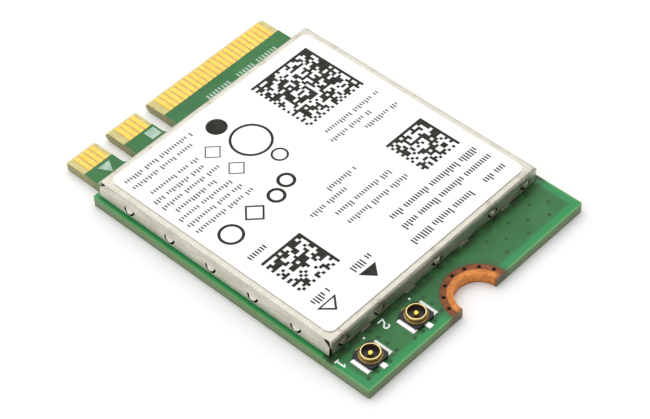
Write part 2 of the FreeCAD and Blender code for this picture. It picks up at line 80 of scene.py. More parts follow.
CIRCLES = (
    (-0.65, 5.5, 1.6, 0.2), (-0.35, 3.0, 0.65, 0.16), (-8.0, 0.25, 0.95, 0.22),
    (-3.35, 0.45, 0.7, 0.24), (-1.85, 0.95, 0.7, 0.24),
)
DARK_DIAMONDS = ((-5.5, 0.45, 0.95, 0.2),)
GREY_DIAMONDS = ((-3.3, 6.7, 0.8, 0.14), (-3.3, 4.35, 0.8, 0.14))

# Marks beside the jacks, placed from each jack's middle
JACK_DOT_X, JACK_DOT_Y, JACK_DOT_RADIUS = 0.88, 1.38, 0.09
NUMERAL_1_PLACE = (-1.75, 1.07)
NUMERAL_2_PLACE = (-1.87, 1.17)
SILK_STROKE = 0.12
NUMERAL_1_OUTLINE = (
    (-0.19, 0.39), (-0.19, 0.27), (-0.06, 0.27), (-0.06, -0.43), (0.04, -0.43), (0.19, -0.28),
    (0.19, -0.17), (0.06, -0.28), (0.06, 0.27), (0.19, 0.27), (0.19, 0.39),
)
NUMERAL_2_LINE = (
    (-0.24, 0.37), (0.24, 0.37), (0.13, 0.08), (-0.17, -0.12), (-0.21, -0.26),
    (-0.12, -0.36), (0.03, -0.38), (0.15, -0.33), (0.225, -0.21),
)

# Marks on the tongue, with the square as x0, x1, y0, y1 and the lines as x0, x1
TONGUE_SEED = 5
TONGUE_TRIANGLE = ((-8.9, 12.75), (-8.35, 11.75), (-7.8, 12.75))
TONGUE_SQUARE = (-4.3, -3.4, 11.9, 12.8)
TONGUE_LINES = ((1.3, 3.9), (4.4, 8.6))
TONGUE_LINE_Y, TONGUE_LINE_HEIGHT = 11.7, 0.8

# Shield's leaning side walls and the painted shade of the slits at its corners
LID_FLARE = 0.15
LID_BEND = 0.2
SLIT_FOOT = 1.5
SLIT_RISE = 0.65
SLIT_LEAN = 0.42
SLIT_PLACE = 0.02
SLIT_HALF = 0.08
SLIT_WIDENING = 0.11
SLIT_BLUR = 0.02
SLIT_INSIDE = 0.08

# Depths below the lid's top where the paler wall colour ends, a painted light on the walls, and levels and
# radii of the stains on its end walls
WALL_END, TOP_START = 0.12, 0.02
STAIN_TOP, STAIN_FOOT = 1.8, 0.95
HALO_RADIUS, HALO_FULL = 0.9, 0.4

# Snap catches of the shield's walls, with the painted shade of their slots
CATCH_Z = 1.52
SIDE_CATCH_PITCH = 3.95
END_CATCHES = (5.8, 9.3)
CATCH_RADIUS = 0.36
SIDE_CATCH_COUNT = 5
DOME_DEPTH = 0.08
DOME_BACK = 0.03
DOME_RINGS = 5
DOME_SIDES = 14
SLOT_RADIUS = 0.53
SLOT_BLUR = 0.03
SLOT_START, SLOT_FULL = 0.02, -0.06
WELD = 0.0001

# Levels of the studio light, with the lamp's place and size and the floor's reach in metres
ZENITH = 1.15
HORIZON = 0.9
FRONT = 0.08
SOFTBOX_PLACE = Vector((0.12, 0.22, 0.42))
SOFTBOX_SIZE = 0.5
SOFTBOX_POWER = 0.9
FRONT_SPAN = (-0.8, 0.0)
OVERHEAD_SPAN = (0.4, 0.85)
SKY_TOP = 0.9
FLOOR_REACH = 2.0
FLOOR_DROP = 2 * INK

# Board: upright share of the normal on its faces, and zones of its colours from edges, shield and underside,
# with a painted highlight on the edges, painted shade at the foot of the sides and painted shade before the
# shield's front wall
FLAT_FACE = 0.8
CORE_START, CORE_END = 0.3, 0.7
FOOT_START, FOOT_END = 0.02, 0.14
EDGE_HIGHLIGHT = 0.2
BORDER_START, BORDER_END = 0.45, 0.85
LID_FOOT_SHADE_START, LID_FOOT_SHADE_END = 0.85, 0.2
LID_FOOT_SHADE_UNDER_WALL = 0.5
TONGUE_SHADE = 0.4

# Ring of the screw notch, with the painted shade around the notch and at the foot of its wall
BARE_RING_RADIUS = 2.2
BARE_RING_INSIDE, BARE_RING_OUTSIDE = 0.03, 0.05
BORE_SHADE_START, BORE_SHADE_END = 0.16, 0.04
RING_FRINGE_START, RING_FRINGE_END = 2.55, 2.7
RING_TIP_START, RING_TIP_END = 0.3, 0.04
NOTCH_SHADE = 2.75
NOTCH_SHADE_BLUR = 0.5
RING_VIA_CIRCLE = 2.42
RING_VIA_COUNT = 7
RING_VIA_STEP = math.radians(24.4)
RING_VIA_RADIUS = 0.15

# Tented vias of the antenna end
VIA_RADIUS = 0.15
JACK_VIA_OFFSETS = (
    (1.55, 1.5), (1.55, 0.75), (1.57, -0.03), (1.55, -0.88),
    (0.58, -1.2), (-0.62, -1.15), (-1.4, -1.12), (-0.42, 1.53),
)
VIA_ROW_STARTS = (3.9, 5.0, 4.1)
VIA_ROW_Y, VIA_ROW_PITCH = -12.35, 0.8
VIAS_IN_ROW, VIA_PITCH = 3, 2.28

# Levels of the antenna jacks' wetted feet and rings, of the rings' painted highlight and the painted shade
# at their foot, inside of the rings with its painted shade, and place of the far feet with their painted
# shade
SHELL_WET_END, SHELL_DRY_START = 0.93, 0.95
TAIL_WET_END, PIN_START = 0.95, 1.0
JACK_RING_TOP = 1.4
JACK_RIM_START, JACK_RIM_FULL = 0.05, 0.02
JACK_BAND_FOOT = 1.18
JACK_FOOT_BLUR = 0.06
JACK_RING_INSIDE = 0.64
JACK_INSIDE_BLUR = 0.005
JACK_INSIDE_DEPTH = 0.08
FAR_FOOT = 0.92
FAR_FOOT_BLUR = 0.05

# Underside
TEST_PAD_RADIUS = 0.4
TEST_PAD_SIDES = 32
TEST_PAD_ROWS = 4
TEST_PAD_X, TEST_PAD_Y = -6.6, -8.0
TEST_PAD_PITCH_X, TEST_PAD_PITCH_Y = 4.4, 4.6
TEST_PAD_SHIFT = 0.7

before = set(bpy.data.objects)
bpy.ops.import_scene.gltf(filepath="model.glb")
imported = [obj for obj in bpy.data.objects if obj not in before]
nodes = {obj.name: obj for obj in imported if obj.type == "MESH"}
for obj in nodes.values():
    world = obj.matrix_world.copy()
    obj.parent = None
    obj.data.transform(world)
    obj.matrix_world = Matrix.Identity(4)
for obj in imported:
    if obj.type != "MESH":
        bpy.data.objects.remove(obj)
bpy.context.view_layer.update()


def box_mm(*names):
    """Lowest and highest corner of some CAD nodes together, in millimetres."""
    corners = [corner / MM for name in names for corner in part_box(name)]
    low = Vector([min(c[i] for c in corners) for i in range(3)])
    high = Vector([max(c[i] for c in corners) for i in range(3)])
    return low, high


board_low, board_high = box_mm("printed_circuit_board")
lid_low, lid_high = box_mm("shield_lid")
LABEL_TOP = box_mm("label")[1].z
CONTACT_START_Y = box_mm("edge_contacts_top")[0].y
jacks = []
for number in (1, 2):
    housing_low, housing_high = box_mm("antenna_jack_%d_housing" % number)
    jacks.append((housing_low + housing_high) / 2)
BOARD_TOP = board_high.z
RING_CENTRE = Vector((0, board_low.y))
LID_MIDDLE_Y = (lid_low.y + lid_high.y) / 2


class Looks:
    """Node material, or node world, with short calls for the nodes that they share."""

    def __init__(self, block, shader="Principled BSDF"):
        self.block = block
        self.block.use_nodes = True
        self.tree = self.block.node_tree
        self.shader = self.tree.nodes[shader]

    @classmethod
    def material(cls, name):
        return cls(bpy.data.materials.new(name))

    def node(self, kind, **settings):
        made = self.tree.nodes.new(kind)
        for key, value in settings.items():
            setattr(made, key, value)
        return made

    def put(self, value, socket):
        """Constant or another node's output into a socket."""
        if isinstance(value, bpy.types.NodeSocket):
            self.tree.links.new(value, socket)
        else:
            socket.default_value = value

    def set(self, **inputs):
        """Inputs of the surface shader, by their names with underscores."""
        for key, value in inputs.items():
            self.put(value, self.shader.inputs[key.replace("_", " ")])
        return self

    def calc(self, operation, *values):
        made = self.node("ShaderNodeMath", operation=operation)
        for value, socket in zip(values, made.inputs):
            self.put(value, socket)
        return made.outputs[0]

    def hypot(self, first, second):
        """Length of a line from its two legs."""
        squares = [self.calc("MULTIPLY", leg, leg) for leg in (first, second)]
        return self.calc("SQRT", self.calc("ADD", *squares))

    def place(self):
        """Position in the object's frame, in millimetres."""
        scale = self.node("ShaderNodeVectorMath", operation="SCALE")
        self.put(self.node("ShaderNodeTexCoord").outputs["Object"], scale.inputs[0])
        scale.inputs["Scale"].default_value = 1 / MM
        return scale.outputs[0]

    def parts(self, vector):
        made = self.node("ShaderNodeSeparateXYZ")
        self.put(vector, made.inputs[0])
        return made.outputs

    def normal(self):
        return self.parts(self.node("ShaderNodeNewGeometry").outputs["Normal"])

    def noise(self, scale, detail=4.0, stretch=(1, 1, 1)):
        mapping = self.node("ShaderNodeMapping")
        self.put(self.place(), mapping.inputs["Vector"])
        mapping.inputs["Scale"].default_value = stretch
        made = self.node("ShaderNodeTexNoise")
        self.put(mapping.outputs[0], made.inputs["Vector"])
        made.inputs["Scale"].default_value = scale
        made.inputs["Detail"].default_value = detail
        return made.outputs["Fac"]

    def between(self, value, low, high, start=0.0, end=1.0):
        """Smooth step of a value from one level to another."""
        made = self.node("ShaderNodeMapRange", interpolation_type="SMOOTHSTEP")
        for item, socket in zip((value, low, high, start, end), made.inputs):
            self.put(item, socket)
        return made.outputs[0]

    def mix(self, factor, first, second):
        made = self.node("ShaderNodeMix", data_type="RGBA")
        self.put(factor, made.inputs[0])
        for value, socket in ((first, made.inputs[6]), (second, made.inputs[7])):
            self.put((*value, 1.0) if isinstance(value, tuple) else value, socket)
        return made.outputs[2]

    def bump(self, height, distance, strength=1.0):
        """Surface relief, with its depth in millimetres."""
        made = self.node("ShaderNodeBump")
        made.inputs["Strength"].default_value = strength
        made.inputs["Distance"].default_value = distance * MM
        self.put(height, made.inputs["Height"])
        self.put(made.outputs[0], self.shader.inputs["Normal"])
        return self

    def on(self, *names):
        """Give this material to CAD nodes or to pieces."""
        for name in names:
            thing = nodes.get(name) or bpy.data.objects[name]
            thing.data.materials.clear()
            thing.data.materials.append(self.block)
        return self


def mottled(look, base, dark, scale, detail=5.0):
    """Two shades of one colour in soft patches."""
    return look.mix(look.between(look.noise(scale, detail), 0.35, 0.65), dark, base)


def laminate():
    """Solder mask with a paler border, a bare tongue and fibrous edges; painted highlight on the edges and
    painted shade before the shield's wall, around the screw notch and at the foot of the sides.
    """
    look = Looks.material("laminate")
    x, y, z = look.parts(look.place())
    side_room = look.calc("SUBTRACT", board_high.x, look.calc("ABSOLUTE", x))
    front_room = look.calc("SUBTRACT", y, board_low.y)
    edge = look.calc("MINIMUM", side_room, front_room)
    pour = mottled(look, (0.018, 0.15, 0.032), (0.012, 0.125, 0.024), 0.6)
    pour = look.mix(look.between(look.noise(0.9, 2.0), 0.55, 0.75, 0.0, 0.7), pour, (0.032, 0.14, 0.032))
    # Painted highlight: the mask is painted paler along the board's very edge; the border farther in keeps
    # its own paler colour, where no copper is.
    rim = look.mix(look.between(edge, 0.0, EDGE_HIGHLIGHT), (0.12, 0.33, 0.1), (0.012, 0.24, 0.065))
    mask = look.mix(look.between(edge, BORDER_START, BORDER_END), rim, pour)
    # Painted shade: the mask is painted darker in patches in front of the shield's front wall and just under
    # it, on the top face only.
    lid_foot_shade = look.between(y, lid_low.y - LID_FOOT_SHADE_START, lid_low.y - LID_FOOT_SHADE_END)
    lid_foot_shade = look.calc("MULTIPLY", lid_foot_shade, look.between(look.noise(2.0), 0.2, 0.6))
    lid_foot_shade = look.calc("MULTIPLY", lid_foot_shade, look.calc("LESS_THAN", y, lid_low.y + LID_FOOT_SHADE_UNDER_WALL))
    lid_foot_shade = look.calc("MULTIPLY", lid_foot_shade, look.calc("GREATER_THAN", z, BOARD_TOP / 2))
    mask = look.mix(lid_foot_shade, mask, (0.018, 0.045, 0.016))
    bare = mottled(look, (0.6, 0.53, 0.21), (0.5, 0.44, 0.17), 1.5)
    face = look.mix(look.calc("GREATER_THAN", y, CONTACT_START_Y), mask, bare)
    fibre = look.between(look.noise(2.5, 8.0, (1, 1, 9)), 0.3, 0.7)
    core = look.mix(fibre, (0.13, 0.18, 0.08), (0.2, 0.27, 0.12))
    wall = look.mix(look.between(z, CORE_START, CORE_END), core, (0.12, 0.27, 0.1))
    # Painted shade: the board's sides are painted darker at their foot, where they meet the floor.
    wall = look.mix(look.between(z, FOOT_START, FOOT_END), (0.1, 0.13, 0.06), wall)
    tongue = look.mix(fibre, (0.27, 0.245, 0.11), (0.36, 0.33, 0.15))
    wall = look.mix(look.between(y, lid_high.y + TONGUE_SHADE, CONTACT_START_Y), wall, tongue)
    # Painted shade: the mask and the board's sides are painted darker around the screw notch.
    notch_shade = look.between(look.hypot(x, front_room), NOTCH_SHADE + NOTCH_SHADE_BLUR, NOTCH_SHADE)
    face = look.mix(look.calc("MULTIPLY", notch_shade, 0.6), face, (0.022, 0.09, 0.028))
    wall = look.mix(look.calc("MULTIPLY", notch_shade, 0.85), wall, (0.12, 0.08, 0.05))
    flat = look.calc("GREATER_THAN", look.calc("ABSOLUTE", look.normal()[2]), FLAT_FACE)
    look.set(Base_Color=look.mix(flat, wall, face))
    look.set(Roughness=look.between(look.noise(1.2), 0.2, 0.8, 0.32, 0.45), Specular_IOR_Level=0.3)
    look.bump(look.noise(14, 3.0), 0.006).on("printed_circuit_board")


def gold(name, base, dark, roughness, *names):
    """Gold plating with a fine grain."""
    look = Looks.material(name)
    look.set(Base_Color=mottled(look, base, dark, 3.0), Metallic=1.0)
    look.set(Roughness=look.between(look.noise(9), 0.2, 0.8, roughness, roughness + 0.12))
    look.bump(look.noise(30, 2.0), 0.003).on(*names)


def jack_offset(look, x):
    """Offset in x from the middle of the jack that a point belongs to."""
    half = (jacks[1].x - jacks[0].x) / 2
    return look.calc("WRAP", look.calc("SUBTRACT", x, jacks[0].x), half, -half)


def far_foot_shade(look, wet, x):
    """Solder with painted shade on the far foot of each jack."""
    far = look.between(jack_offset(look, x), FAR_FOOT - FAR_FOOT_BLUR, FAR_FOOT + FAR_FOOT_BLUR, 0.0, 0.8)
    return look.mix(far, wet, (0.42, 0.45, 0.4))


def jack_shell():
    """Gold ring with a painted highlight on its top and painted shade inside and at its foot, on straps and
    feet that the solder has wetted silver.
    """
    look = Looks.material("jack_shell")
    x, y, z = look.parts(look.place())
    ring = look.between(z, SHELL_WET_END, SHELL_DRY_START)
    # Painted shade on the far foot of each jack.
    wet = far_foot_shade(look, mottled(look, (0.9, 0.89, 0.86), (0.72, 0.71, 0.68), 4.0), x)
    plated = mottled(look, (0.72, 0.52, 0.13), (0.45, 0.3, 0.06), 5.0)
    # Painted highlight: the ring's top edge is painted a paler gold.
    rim = look.between(z, JACK_RING_TOP - JACK_RIM_START, JACK_RING_TOP - JACK_RIM_FULL)
    plated = look.mix(rim, plated, (0.68, 0.55, 0.22))
    # Painted shade: the ring is painted dark below its straight band.
    foot = look.between(z, JACK_BAND_FOOT, JACK_BAND_FOOT - JACK_FOOT_BLUR, 0.0, 0.85)
    plated = look.mix(foot, plated, (0.12, 0.075, 0.03))
    # Painted shade: the ring's inner wall is painted dark, darker deeper down.
    radius = look.hypot(jack_offset(look, x), look.calc("SUBTRACT", y, jacks[0].y))
    inside = look.between(radius, JACK_RING_INSIDE + JACK_INSIDE_BLUR, JACK_RING_INSIDE - JACK_INSIDE_BLUR)
    depth = look.between(z, JACK_RING_TOP, JACK_RING_TOP - JACK_INSIDE_DEPTH, 0.0, 0.9)
    plated = look.mix(look.calc("MULTIPLY", inside, depth), plated, (0.13, 0.075, 0.035))
    look.set(Base_Color=look.mix(ring, wet, plated), Metallic=look.between(ring, 0, 1, 0.6, 0.7))
    look.set(Roughness=look.between(ring, 0, 1, 0.4, 0.24))
    look.bump(look.noise(20, 2.0), 0.004).on("antenna_jack_1_shell", "antenna_jack_2_shell")


def jack_pin():
    """Gold pin on a tail that the solder has wetted silver."""
    look = Looks.material("jack_pin")
    z = look.parts(look.place())[2]
    pin = look.between(z, TAIL_WET_END, PIN_START)
    wet = mottled(look, (0.88, 0.87, 0.83), (0.7, 0.69, 0.65), 4.0)
    plated = mottled(look, (0.98, 0.63, 0.11), (0.86, 0.52, 0.08), 4.0)
    look.set(Base_Color=look.mix(pin, wet, plated), Metallic=look.between(pin, 0, 1, 0.6, 1.0))
    look.set(Roughness=look.between(pin, 0, 1, 0.4, 0.25))
    look.bump(look.noise(20, 2.0), 0.004).on("antenna_jack_1_pin", "antenna_jack_2_pin")


def copper():
    """Bare copper next to the notch and on its wall, the wall painted brighter with painted shade at its
    foot, tarnished farther out, with a dark fringe and tips.
    """
    look = Looks.material("copper")
    x, y, z = look.parts(look.place())
    dy = look.calc("SUBTRACT", y, RING_CENTRE.y)
    radius = look.hypot(x, dy)
    outer = look.between(radius, BARE_RING_RADIUS - BARE_RING_INSIDE, BARE_RING_RADIUS + BARE_RING_OUTSIDE)
    bright = mottled(look, (0.47, 0.175, 0.05), (0.33, 0.115, 0.03), 3.0)
    dull = mottled(look, (0.27, 0.08, 0.024), (0.17, 0.046, 0.014), 3.0)
    fringe = look.between(radius, RING_FRINGE_START, RING_FRINGE_END, 0.0, 0.7)
    dull = look.mix(fringe, dull, (0.07, 0.035, 0.014))
    bore = mottled(look, (0.82, 0.33, 0.095), (0.62, 0.235, 0.06), 3.5)
    # Painted shade: the notch's wall is painted darker towards its foot.
    bore = look.mix(look.between(z, BORE_SHADE_START, BORE_SHADE_END, 0.0, 0.75), bore, (0.3, 0.12, 0.06))
    # Painted light: the notch's wall is painted a brighter copper than the flat ring, for how the light
    # falls on each.
    flat = look.calc("ABSOLUTE", look.normal()[2])
    bright = look.mix(look.between(flat, 0.3, 0.7), bore, bright)
    shade = look.mix(outer, bright, dull)
    shade = look.mix(look.between(dy, RING_TIP_START, RING_TIP_END, 0.0, 0.7), shade, (0.12, 0.06, 0.035))
    look.set(Base_Color=shade, Metallic=look.between(outer, 0, 1, 0.9, 0.2))
    look.set(Roughness=look.between(outer, 0, 1, 0.4, 0.55), Specular_IOR_Level=0.25)
    look.bump(look.noise(8), 0.02).on("mounting_pad")


def catch_place(look, x, y):
    """Distance along a wall from the middle of its nearest snap catch."""
    turns = look.calc("DIVIDE", look.calc("SUBTRACT", y, LID_MIDDLE_Y), SIDE_CATCH_PITCH)
    side = look.calc("SUBTRACT", turns, look.calc("ROUND", turns))
    side = look.calc("MULTIPLY", look.calc("ABSOLUTE", side), SIDE_CATCH_PITCH)
    off_middle = look.calc("ABSOLUTE", x)
    end = off_middle
    for place in END_CATCHES:
        end = look.calc("MINIMUM", end, look.calc("ABSOLUTE", look.calc("SUBTRACT", off_middle, place)))
    on_side = look.calc("GREATER_THAN", off_middle, lid_high.x - LID_FLARE - LID_BEND)
    return look.calc("ADD", look.calc("MULTIPLY", on_side, side),
                     look.calc("MULTIPLY", look.calc("SUBTRACT", 1.0, on_side), end))


def corner_slit_shade(look, x, y, z):
    """Share of painted shade in the slits that curve from the lid's corners into the bends of its side
    walls.
    """
    half_length = (lid_high.y - lid_low.y) / 2
    room = look.calc("SUBTRACT", half_length, look.calc("ABSOLUTE", look.calc("SUBTRACT", y, LID_MIDDLE_Y)))
    rise = look.between(z, SLIT_FOOT, SLIT_FOOT + SLIT_RISE)
    lean = look.calc("MULTIPLY", look.calc("MULTIPLY", rise, rise), SLIT_LEAN)
    away = look.calc("ABSOLUTE", look.calc("SUBTRACT", look.calc("SUBTRACT", room, SLIT_PLACE), lean))
    outside = look.calc("GREATER_THAN", look.calc("ABSOLUTE", x), lid_high.x - LID_FLARE - SLIT_INSIDE)
    near = look.calc("SUBTRACT", away, look.calc("MULTIPLY", lean, SLIT_WIDENING / SLIT_LEAN))
    return look.calc("MULTIPLY", look.between(near, SLIT_HALF + SLIT_BLUR, SLIT_HALF - SLIT_BLUR), outside)


def end_wall(look, x):
    """Share of a point of the lid in its end walls, away from the side walls."""
    return look.between(look.calc("ABSOLUTE", x), lid_high.x - LID_FLARE, lid_high.x - LID_FLARE - LID_BEND)


def shield():
    """Tin-plated sheet with a rolling grain, scuffs and stains, walls painted paler than the top, and
    painted shade in its slits and catch slots.
    """
    look = Looks.material("shield_sheet")
    x, y, z = look.parts(look.place())
    along = catch_place(look, x, y)
    rise = look.calc("SUBTRACT", z, CATCH_Z)
    reach = look.hypot(along, rise)
    grain = look.noise(3.0, 6.0, (0.25, 6, 6))
    # Painted light: the walls are painted paler than the top, for how the light falls on them.
    top = look.mix(look.between(grain, 0.3, 0.7), (0.46, 0.44, 0.375), (0.54, 0.52, 0.455))
    streaks = look.between(look.noise(1.2, 7.0, (0.6, 0.6, 3)), 0.35, 0.65)
    wall = look.mix(streaks, (0.61, 0.575, 0.495), (0.74, 0.7, 0.61))
    shade = look.mix(look.between(z, lid_high.z - WALL_END, lid_high.z - TOP_START), wall, top)
    scuffs = look.between(look.noise(5.0, 8.0), 0.6, 0.78)
    shade = look.mix(scuffs, shade, (0.44, 0.39, 0.31))
    on_end = end_wall(look, x)
    patches = look.between(look.noise(1.3, 6.0), 0.4, 0.68)
    stain = look.calc("MULTIPLY", look.between(z, STAIN_TOP, STAIN_FOOT), patches)
    stain = look.calc("MULTIPLY", stain, on_end)
    shade = look.mix(look.calc("MULTIPLY", stain, 0.7), shade, (0.42, 0.34, 0.23))
    spots = look.between(look.noise(4.0, 6.0), 0.4, 0.6)
    halo = look.calc("MULTIPLY", look.between(reach, HALO_RADIUS, HALO_FULL, 0.0, 0.75), spots)
    shade = look.mix(look.calc("MULTIPLY", halo, on_end), shade, (0.27, 0.21, 0.13))
    # Painted shade: the slot under each catch's tongue is painted nearly black.
    hanging = look.between(z, CATCH_Z + SLOT_START, CATCH_Z + SLOT_FULL)
    slot = look.calc("MULTIPLY", look.between(reach, SLOT_RADIUS, SLOT_RADIUS - SLOT_BLUR), hanging)
    shade = look.mix(slot, shade, (0.02, 0.015, 0.01))
    # Painted shade in the slits at the lid's corners.
    shade = look.mix(corner_slit_shade(look, x, y, z), shade, (0.03, 0.022, 0.016))
    look.set(Base_Color=shade, Metallic=look.between(stain, 0, 1, 1.0, 0.35))
    look.set(Roughness=look.between(look.noise(2.0), 0.2, 0.8, 0.44, 0.54))
    look.bump(look.noise(7.0, 4.0), 0.012).on("shield_lid")


def inner_sheet():
    """Plain tin-plated sheet and metal cap inside the shield, painted dark for the shade that falls inside
    it.
    """
    look = Looks.material("inner_sheet")
    shade = mottled(look, (0.2, 0.185, 0.15), (0.15, 0.14, 0.115), 3.0)
    look.set(Base_Color=shade, Metallic=1.0, Roughness=look.between(look.noise(2.0), 0.2, 0.8, 0.35, 0.5))
    look.bump(look.noise(7.0, 4.0), 0.012).on("shield_frame", "reference_crystal")


def solder(name, base, dark, far_shade, *names):
    """Solder with a lightly crystalline skin, with painted shade on the far feet of the jacks if asked."""
    look = Looks.material(name)
    shade = mottled(look, base, dark, 4.0)
    if far_shade:
        shade = far_foot_shade(look, shade, look.parts(look.place())[0])
    look.set(Base_Color=shade, Metallic=0.7)
    look.set(Roughness=look.between(look.noise(6), 0.2, 0.8, 0.3, 0.5))
    look.bump(look.noise(5, 3.0), 0.02).on(*names)


def matt(name, base, dark, roughness, shine, grain, depth, *names):
    """Plain moulded, fired or printed surface with soft patches and a fine grain."""
    look = Looks.material(name)
    look.set(Base_Color=mottled(look, base, dark, grain), Roughness=roughness, Specular_IOR_Level=shine)
    look.bump(look.noise(grain * 6, 3.0), depth).on(*names)


def piece(name, mesh):
    """Mesh as a named object that rides with the card."""
    data = bpy.data.meshes.new(name)
    bmesh.ops.recalc_face_normals(mesh, faces=mesh.faces)
    bmesh.ops.scale(mesh, vec=(MM, MM, MM), verts=mesh.verts)
    mesh.to_mesh(data)
    mesh.free()
    made = bpy.data.objects.new(name, data)
    bpy.context.scene.collection.objects.link(made)
    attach(made, "root")
    return made


def prism(mesh, points, z0, z1):
    """Flat shape with a little thickness."""
    lower = [mesh.verts.new((x, y, z0)) for x, y in points]
    upper = [mesh.verts.new((x, y, z1)) for x, y in points]
    mesh.faces.new(lower[::-1])
    mesh.faces.new(upper)
    for i in range(len(points)):
        j = (i + 1) % len(points)
        mesh.faces.new((lower[i], lower[j], upper[j], upper[i]))


def bar(mesh, x0, x1, y0, y1, z, height=INK):
    prism(mesh, ((x0, y0), (x1, y0), (x1, y1), (x0, y1)), z, z + height)


def circle(x, y, radius, count=24):
    turn = 2 * math.pi / count
    return [(x + radius * math.cos(i * turn), y + radius * math.sin(i * turn)) for i in range(count)]


def diamond(x, y, radius):
    return circle(x, y, radius, 4)


def strip(mesh, left, right, z, closed, height=INK):
    """Flat band between two lines with as many points each, as one closed skin."""
    low_left, high_left, low_right, high_right = (
        [mesh.verts.new((*p, level)) for p in line] for line in (left, right) for level in (z, z + height))
    for i in range(len(left) if closed else len(left) - 1):
        j = (i + 1) % len(left)
        mesh.faces.new((high_left[i], high_left[j], high_right[j], high_right[i]))
        mesh.faces.new((low_left[i], low_left[j], low_right[j], low_right[i]))
        mesh.faces.new((low_left[i], low_left[j], high_left[j], high_left[i]))
        mesh.faces.new((low_right[i], low_right[j], high_right[j], high_right[i]))
    if not closed:
        for i in (0, -1):
            mesh.faces.new((low_left[i], high_left[i], high_right[i], low_right[i]))


def band(mesh, outer, inner, z):
    """Closed outline between two loops."""
    strip(mesh, outer, inner, z, True)


def stroke(mesh, points, width, z):
    """Open line of some width through the points, with mitred bends."""
    points = [Vector(p) for p in points]
    left, right = [], []
    for i, point in enumerate(points):
        before = (point - points[i - 1]).normalized() if i else None
        after = (points[i + 1] - point).normalized() if i + 1 < len(points) else None
        along = ((before or after) + (after or before)).normalized()
        across = Vector((-along.y, along.x)) * width / 2
        across /= max(along.dot(before or after), LEAST_MITRE)
        left.append(tuple(point + across))
        right.append(tuple(point - across))
    strip(mesh, left, right, z, False)


def greeked(mesh, rng, x0, x1, y, height, z):
    """Words of even ticks on one base line, some of them taller, standing for a line of print."""
    base = y + height / 2
    pitch = max(height * TICK_PITCH, LEAST_TICK_PITCH)
    x, left = x0, rng.randint(*WORD_TICKS)
    while x < x1:
        if left:
            tall = height * (1.0 if rng.random() < TALL_TICKS else LOW_TICK)
            bar(mesh, x, x + pitch * TICK_WIDTH, base - tall, base, z)
            left -= 1
        else:
            left = rng.randint(*WORD_TICKS)
        x += pitch


def code_field(mesh, rng, x0, y0, size, cells, z):
    """Field of random squares with two solid and two dotted sides, one skin, in place of a printed code."""
    dark = set()
    for row in range(cells):
        for column in range(cells):
            solid = rng.random() < CODE_FILL
            if row == 0 or column == 0:
                solid = (row + column) % 2 == 1
            if solid or row == cells - 1 or column == cells - 1:
                dark.add((column, row))
    step = size / cells
    corners = {}

    def corner(column, row, level):
        key = (column, row, level)
        if key not in corners:
            corners[key] = mesh.verts.new((x0 + column * step, y0 + row * step, z + level * INK))
        return corners[key]

    loop = ((0, 0), (1, 0), (1, 1), (0, 1))
    beside = ((0, -1), (1, 0), (0, 1), (-1, 0))
    for column, row in sorted(dark):
        for level in (0, 1):
            mesh.faces.new([corner(column + i, row + j, level) for i, j in loop])
        for side, (i, j) in enumerate(beside):
            if (column + i, row + j) not in dark:
                ends = [(column + a, row + b) for a, b in (loop[side], loop[(side + 1) % 4])]
                mesh.faces.new([corner(*ends[e], level) for e, level in loop])


def dome(mesh, place):
    """Half-round bulge below a hinge line, where place(along, drop, out) gives a point of the wall."""
    front, back = [], []
    for i in range(DOME_RINGS + 1):
        for j in range(DOME_SIDES + 1):
            angle = math.pi * j / DOME_SIDES
            across, drop = math.cos(angle) * i / DOME_RINGS, math.sin(angle) * i / DOME_RINGS
            out = DOME_DEPTH * (1 - across ** 2) * math.sqrt(max(drop, 0.0))
            front.append(mesh.verts.new(place(across * CATCH_RADIUS, drop * CATCH_RADIUS, out)))
            back.append(mesh.verts.new(place(across * CATCH_RADIUS, drop * CATCH_RADIUS, -DOME_BACK)))
    row = DOME_SIDES + 1
    for i in range(DOME_RINGS):
        for j in range(DOME_SIDES):
            a, b, c, d = i * row + j, i * row + j + 1, (i + 1) * row + j + 1, (i + 1) * row + j
            mesh.faces.new((front[a], front[b], front[c], front[d]))
            mesh.faces.new((back[d], back[c], back[b], back[a]))
    for j in range(DOME_SIDES):
        a, b = DOME_RINGS * row + j, DOME_RINGS * row + j + 1
        mesh.faces.new((front[a], front[b], back[b], back[a]))
    for j in (0, DOME_SIDES):
        for i in range(DOME_RINGS):
            a, b = i * row + j, (i + 1) * row + j
            mesh.faces.new((front[a], front[b], back[b], back[a]))


def catch_domes():
    """Bulged tongues of the snap catches, on the two leaning side walls and on the two end walls."""
    mesh = bmesh.new()
    bend_z = lid_high.z - LID_BEND
    half_length = (lid_high.y - lid_low.y) / 2

    def wall_x(z):
        return lid_high.x - LID_FLARE * (z - lid_low.z) / (bend_z - lid_low.z)

    for side in (-1, 1):
        for i in range(SIDE_CATCH_COUNT):
            y = LID_MIDDLE_Y + (i - (SIDE_CATCH_COUNT - 1) / 2) * SIDE_CATCH_PITCH
            dome(mesh, lambda along, drop, out: (
                side * (wall_x(CATCH_Z - drop) + out), y + along, CATCH_Z - drop))
        for x in (0.0, *END_CATCHES, *(-place for place in END_CATCHES)):
            dome(mesh, lambda along, drop, out: (
                x + along, LID_MIDDLE_Y + side * (half_length + out), CATCH_Z - drop))
    bmesh.ops.remove_doubles(mesh, verts=mesh.verts, dist=WELD)
    made = piece("catch_domes", mesh)
    made.data.shade_smooth()
    look = Looks.material("catch_dome")
    # Painted highlight: the domes are a paler, less metallic copy of the lid's sheet, so that they light up.
    shade = mottled(look, (0.88, 0.85, 0.79), (0.7, 0.66, 0.58), 4.0)
    # Darker brown patches on the domes of the end walls.
    spots = look.between(look.noise(5.0, 6.0), 0.38, 0.58)
    end_patches = look.calc("MULTIPLY", end_wall(look, look.parts(look.place())[0]), spots)
    look.set(Base_Color=look.mix(end_patches, shade, (0.34, 0.28, 0.18)), Metallic=0.6)
    look.set(Roughness=look.between(look.noise(3.0), 0.2, 0.8, 0.32, 0.45))
    look.bump(look.noise(12.0, 3.0), 0.006).on("catch_domes")


